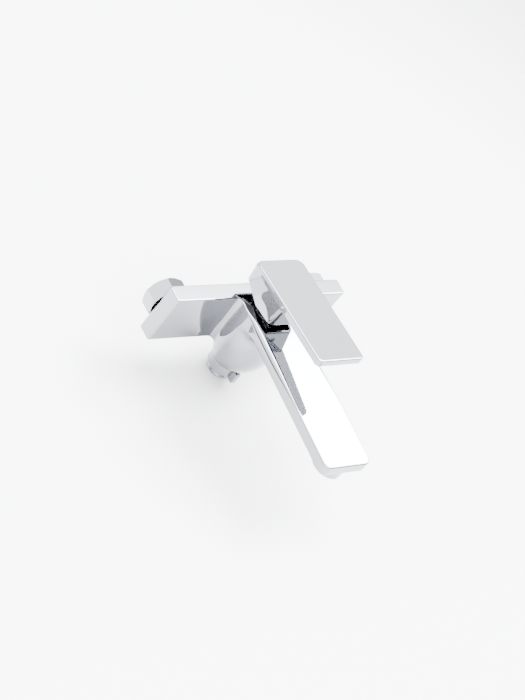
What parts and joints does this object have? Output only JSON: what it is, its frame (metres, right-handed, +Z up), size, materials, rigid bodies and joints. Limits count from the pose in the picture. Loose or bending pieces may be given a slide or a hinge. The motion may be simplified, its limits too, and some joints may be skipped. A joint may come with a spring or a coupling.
{
  "type": "wall mounted bath faucet",
  "caption": "Chrome wall mounted bath mixer: square bar body with union nut inlets, flat lever, long flat spout with aerator, and a shower outlet with a diverter ring.",
  "frame": {"origin": "midway between the two inlets, in the plane where the union nuts meet the wall connections", "axes": "+X along the bar, +Z up towards the lever, -Y out of the wall along the spout"},
  "size_m": [0.1842, 0.1832, 0.1175],
  "materials": {
    "chrome": "polished chrome plate",
    "brass": "machined brass",
    "steel": "stainless steel",
    "white_plastic": "moulded acetal",
    "grey_plastic": "glass filled nylon",
    "black_rubber": "moulded EPDM rubber",
    "alumina": "lapped alumina",
    "fibre": "moulded fibre rubber"
  },
  "bodies": {
    "body": {"body_casting": "chrome", "inlet_nipple_left": "brass", "inlet_nipple_right": "brass", "inlet_washer_left": "fibre", "inlet_washer_right": "fibre", "filter_screen_left": "steel", "filter_screen_right": "steel", "check_valve_cage_left": "white_plastic", "check_valve_cage_right": "white_plastic", "check_spring_left": "steel", "check_spring_right": "steel", "base_seals": "black_rubber", "cartridge_base": "grey_plastic", "fixed_disc": "alumina", "cartridge_housing": "grey_plastic", "cartridge_nut": "brass", "cover_ring": "chrome", "shower_nipple": "chrome", "outlet_seals": "black_rubber", "snap_ring": "steel", "aerator_shell": "chrome", "aerator_insert": "white_plastic", "aerator_screen": "steel", "aerator_washer": "black_rubber"},
    "union_nut_left": {"union_nut_left": "chrome"},
    "union_nut_right": {"union_nut_right": "chrome"},
    "check_poppet_left": {"check_poppet_left": "grey_plastic"},
    "check_poppet_right": {"check_poppet_right": "grey_plastic"},
    "swing": {"stem_guide": "grey_plastic", "pivot_pin": "steel"},
    "lever": {"lever": "chrome", "lever_stem": "steel", "set_screw": "steel", "screw_plug": "chrome"},
    "disc": {"moving_disc": "alumina", "disc_carrier": "white_plastic"},
    "diverter": {"diverter_ring": "chrome", "diverter_sleeve": "grey_plastic"}
  },
  "joints": [
    {"name": "lever_swing", "type": "hinge", "parent": "body", "child": "swing", "pos_m": [0, -0.0382, 0.017], "axis": [0, 0, 1], "range_deg": [-45, 45]},
    {"name": "lever_lift", "type": "hinge", "parent": "swing", "child": "lever", "pos_m": [0, -0.0382, 0.017], "axis": [-1, 0, 0], "range_deg": [0, 22]},
    {"name": "disc_slide", "type": "slide", "parent": "swing", "child": "disc", "axis": [0, -1, 0], "range_m": [0, 0.0045]},
    {"name": "diverter_turn", "type": "hinge", "parent": "body", "child": "diverter", "pos_m": [0, -0.0382, -0.045], "axis": [0, 0, 1], "range_deg": [0, 90]},
    {"name": "union_nut_left_turn", "type": "hinge", "parent": "body", "child": "union_nut_left", "pos_m": [-0.075, -0.006, 0], "axis": [0, 1, 0], "continuous": true},
    {"name": "union_nut_right_turn", "type": "hinge", "parent": "body", "child": "union_nut_right", "pos_m": [0.075, -0.006, 0], "axis": [0, 1, 0], "continuous": true},
    {"name": "check_poppet_left_slide", "type": "slide", "parent": "body", "child": "check_poppet_left", "axis": [0, -1, 0], "range_m": [0, 0.0025], "stiffness_N_per_m": 60, "deforming": ["check_spring_left"]},
    {"name": "check_poppet_right_slide", "type": "slide", "parent": "body", "child": "check_poppet_right", "axis": [0, -1, 0], "range_m": [0, 0.0025], "stiffness_N_per_m": 60, "deforming": ["check_spring_right"]}
  ],
  "couplings": [
    {"joint": "disc_slide", "follows": "lever_lift", "m_per_rad": 0.0105}
  ]
}
